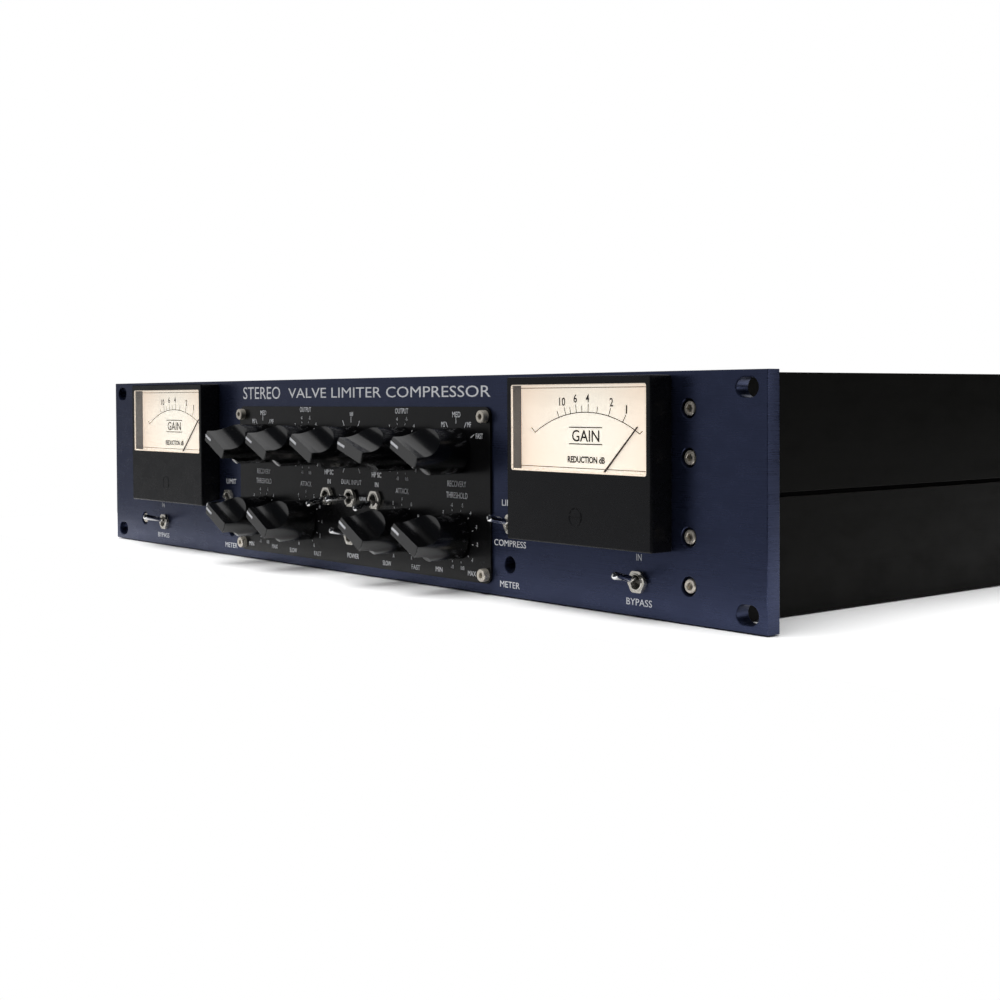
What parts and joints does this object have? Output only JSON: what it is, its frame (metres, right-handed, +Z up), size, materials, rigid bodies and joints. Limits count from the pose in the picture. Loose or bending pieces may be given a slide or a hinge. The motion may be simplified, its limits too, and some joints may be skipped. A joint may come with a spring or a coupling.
{
  "type": "rack compressor",
  "caption": "Two-unit rack-mount stereo valve compressor: navy panel, two lit gain reduction meters, black plate of bar knobs and toggles, vented black case.",
  "frame": {"origin": "middle of the whole object's box, on the surface that the case stands on", "axes": "+X to the viewer's right along the panel, +Y from the panel towards the rear, +Z up"},
  "size_m": [0.4826, 0.2936, 0.0881],
  "materials": {
    "panel_blue": "navy anodised, fine horizontal brushed grain",
    "plate_black": "black anodised, matt, white engraved lettering",
    "case_black": "black anodised extrusion with lengthwise grain",
    "cover_black": "black fine-texture powder coat",
    "rear_black": "black powder coat",
    "knob_black": "black anodised, satin, white pointer line",
    "control_steel": "plated steel can and bush",
    "nickel": "bright nickel plate",
    "lever_chrome": "polished chrome",
    "meter_black": "black moulded plastic, low gloss",
    "meter_lens": "clear polished acrylic",
    "scale_cream": "cream printed card lit from behind",
    "needle_dark": "thin painted aluminium pointer",
    "connector_black": "black zinc and nylon",
    "board_green": "solder mask over glass epoxy",
    "winding_amber": "varnished winding wrap",
    "core_grey": "grey lacquered steel shield"
  },
  "bodies": {
    "chassis": {"front_panel": "panel_blue", "control_plate": "plate_black", "left_side_rail": "case_black", "right_side_rail": "case_black", "top_cover": "cover_black", "bottom_cover": "cover_black", "rear_panel": "rear_black", "recovery_control_left": "control_steel", "output_control_left": "control_steel", "dual_input_control": "control_steel", "output_control_right": "control_steel", "recovery_control_right": "control_steel", "threshold_control_left": "control_steel", "attack_control_left": "control_steel", "attack_control_right": "control_steel", "threshold_control_right": "control_steel", "bypass_switch_left": "nickel", "bypass_switch_right": "nickel", "limit_switch_left": "nickel", "limit_switch_right": "nickel", "sidechain_filter_switch_left": "nickel", "sidechain_filter_switch_right": "nickel", "link_switch": "nickel", "power_switch": "nickel", "meter_housing_left": "meter_black", "meter_window_left": "meter_lens", "meter_scale_left": "scale_cream", "meter_housing_right": "meter_black", "meter_window_right": "meter_lens", "meter_scale_right": "scale_cream", "input_connector_left": "connector_black", "input_connector_right": "connector_black", "output_connector_left": "connector_black", "output_connector_right": "connector_black", "mains_inlet": "connector_black", "main_circuit_board": "board_green", "power_transformer": "winding_amber", "output_transformer_left": "core_grey", "output_transformer_right": "core_grey"},
    "recovery_knob_left": {"recovery_knob_left": "knob_black"},
    "output_knob_left": {"output_knob_left": "knob_black"},
    "dual_input_knob": {"dual_input_knob": "knob_black"},
    "output_knob_right": {"output_knob_right": "knob_black"},
    "recovery_knob_right": {"recovery_knob_right": "knob_black"},
    "threshold_knob_left": {"threshold_knob_left": "knob_black"},
    "attack_knob_left": {"attack_knob_left": "knob_black"},
    "attack_knob_right": {"attack_knob_right": "knob_black"},
    "threshold_knob_right": {"threshold_knob_right": "knob_black"},
    "bypass_lever_left": {"bypass_lever_left": "lever_chrome"},
    "bypass_lever_right": {"bypass_lever_right": "lever_chrome"},
    "limit_lever_left": {"limit_lever_left": "lever_chrome"},
    "limit_lever_right": {"limit_lever_right": "lever_chrome"},
    "sidechain_filter_lever_left": {"sidechain_filter_lever_left": "lever_chrome"},
    "sidechain_filter_lever_right": {"sidechain_filter_lever_right": "lever_chrome"},
    "link_lever": {"link_lever": "lever_chrome"},
    "power_lever": {"power_lever": "lever_chrome"},
    "meter_needle_left": {"meter_needle_left": "needle_dark"},
    "meter_zero_screw_left": {"meter_zero_screw_left": "meter_black"},
    "meter_needle_right": {"meter_needle_right": "needle_dark"},
    "meter_zero_screw_right": {"meter_zero_screw_right": "meter_black"}
  },
  "joints": [
    {"name": "recovery_left_turn", "type": "hinge", "parent": "chassis", "child": "recovery_knob_left", "pos_m": [-0.0767, -0.11878, 0.0572], "axis": [0, 1, 0], "range_deg": [0, 120]},
    {"name": "output_left_turn", "type": "hinge", "parent": "chassis", "child": "output_knob_left", "pos_m": [-0.03835, -0.11878, 0.0572], "axis": [0, 1, 0], "range_deg": [-100, 230]},
    {"name": "dual_input_turn", "type": "hinge", "parent": "chassis", "child": "dual_input_knob", "pos_m": [0, -0.11878, 0.0572], "axis": [0, 1, 0], "range_deg": [-86, 214]},
    {"name": "output_right_turn", "type": "hinge", "parent": "chassis", "child": "output_knob_right", "pos_m": [0.03835, -0.11878, 0.0572], "axis": [0, 1, 0], "range_deg": [-94, 236]},
    {"name": "recovery_right_turn", "type": "hinge", "parent": "chassis", "child": "recovery_knob_right", "pos_m": [0.0767, -0.11878, 0.0572], "axis": [0, 1, 0], "range_deg": [0, 120]},
    {"name": "threshold_left_turn", "type": "hinge", "parent": "chassis", "child": "threshold_knob_left", "pos_m": [-0.0767, -0.11878, 0.022], "axis": [0, 1, 0], "range_deg": [-103, 227]},
    {"name": "attack_left_turn", "type": "hinge", "parent": "chassis", "child": "attack_knob_left", "pos_m": [-0.03835, -0.11878, 0.022], "axis": [0, 1, 0], "range_deg": [-90, 210]},
    {"name": "attack_right_turn", "type": "hinge", "parent": "chassis", "child": "attack_knob_right", "pos_m": [0.03835, -0.11878, 0.022], "axis": [0, 1, 0], "range_deg": [-90, 210]},
    {"name": "threshold_right_turn", "type": "hinge", "parent": "chassis", "child": "threshold_knob_right", "pos_m": [0.0767, -0.11878, 0.022], "axis": [0, 1, 0], "range_deg": [-103, 227]},
    {"name": "bypass_lever_left_throw", "type": "hinge", "parent": "chassis", "child": "bypass_lever_left", "pos_m": [-0.1816, -0.11678, 0.0126], "axis": [1, 0, 0], "range_deg": [0, 25]},
    {"name": "bypass_lever_right_throw", "type": "hinge", "parent": "chassis", "child": "bypass_lever_right", "pos_m": [0.1816, -0.11678, 0.0126], "axis": [1, 0, 0], "range_deg": [0, 25]},
    {"name": "limit_lever_left_throw", "type": "hinge", "parent": "chassis", "child": "limit_lever_left", "pos_m": [-0.1116, -0.11678, 0.029], "axis": [1, 0, 0], "range_deg": [-25, 0]},
    {"name": "limit_lever_right_throw", "type": "hinge", "parent": "chassis", "child": "limit_lever_right", "pos_m": [0.1116, -0.11678, 0.029], "axis": [1, 0, 0], "range_deg": [0, 25]},
    {"name": "sidechain_filter_lever_left_throw", "type": "hinge", "parent": "chassis", "child": "sidechain_filter_lever_left", "pos_m": [-0.01905, -0.11678, 0.0342], "axis": [1, 0, 0], "range_deg": [-25, 0]},
    {"name": "sidechain_filter_lever_right_throw", "type": "hinge", "parent": "chassis", "child": "sidechain_filter_lever_right", "pos_m": [0.01905, -0.11678, 0.0342], "axis": [1, 0, 0], "range_deg": [-25, 0]},
    {"name": "link_lever_throw", "type": "hinge", "parent": "chassis", "child": "link_lever", "pos_m": [0, -0.11678, 0.0342], "axis": [0, 0, -1], "range_deg": [-25, 0]},
    {"name": "power_lever_throw", "type": "hinge", "parent": "chassis", "child": "power_lever", "pos_m": [0, -0.11678, 0.017], "axis": [1, 0, 0], "range_deg": [0, 25]},
    {"name": "meter_needle_left_swing", "type": "hinge", "parent": "chassis", "child": "meter_needle_left", "pos_m": [-0.1597, -0.11878, 0.0416], "axis": [0, 1, 0], "range_deg": [-91, 0]},
    {"name": "meter_zero_screw_left_turn", "type": "hinge", "parent": "chassis", "child": "meter_zero_screw_left", "pos_m": [-0.1597, -0.11878, 0.0351], "axis": [0, 1, 0], "range_deg": [-45, 45]},
    {"name": "meter_needle_right_swing", "type": "hinge", "parent": "chassis", "child": "meter_needle_right", "pos_m": [0.1597, -0.11878, 0.0416], "axis": [0, 1, 0], "range_deg": [-91, 0]},
    {"name": "meter_zero_screw_right_turn", "type": "hinge", "parent": "chassis", "child": "meter_zero_screw_right", "pos_m": [0.1597, -0.11878, 0.0351], "axis": [0, 1, 0], "range_deg": [-45, 45]}
  ]
}
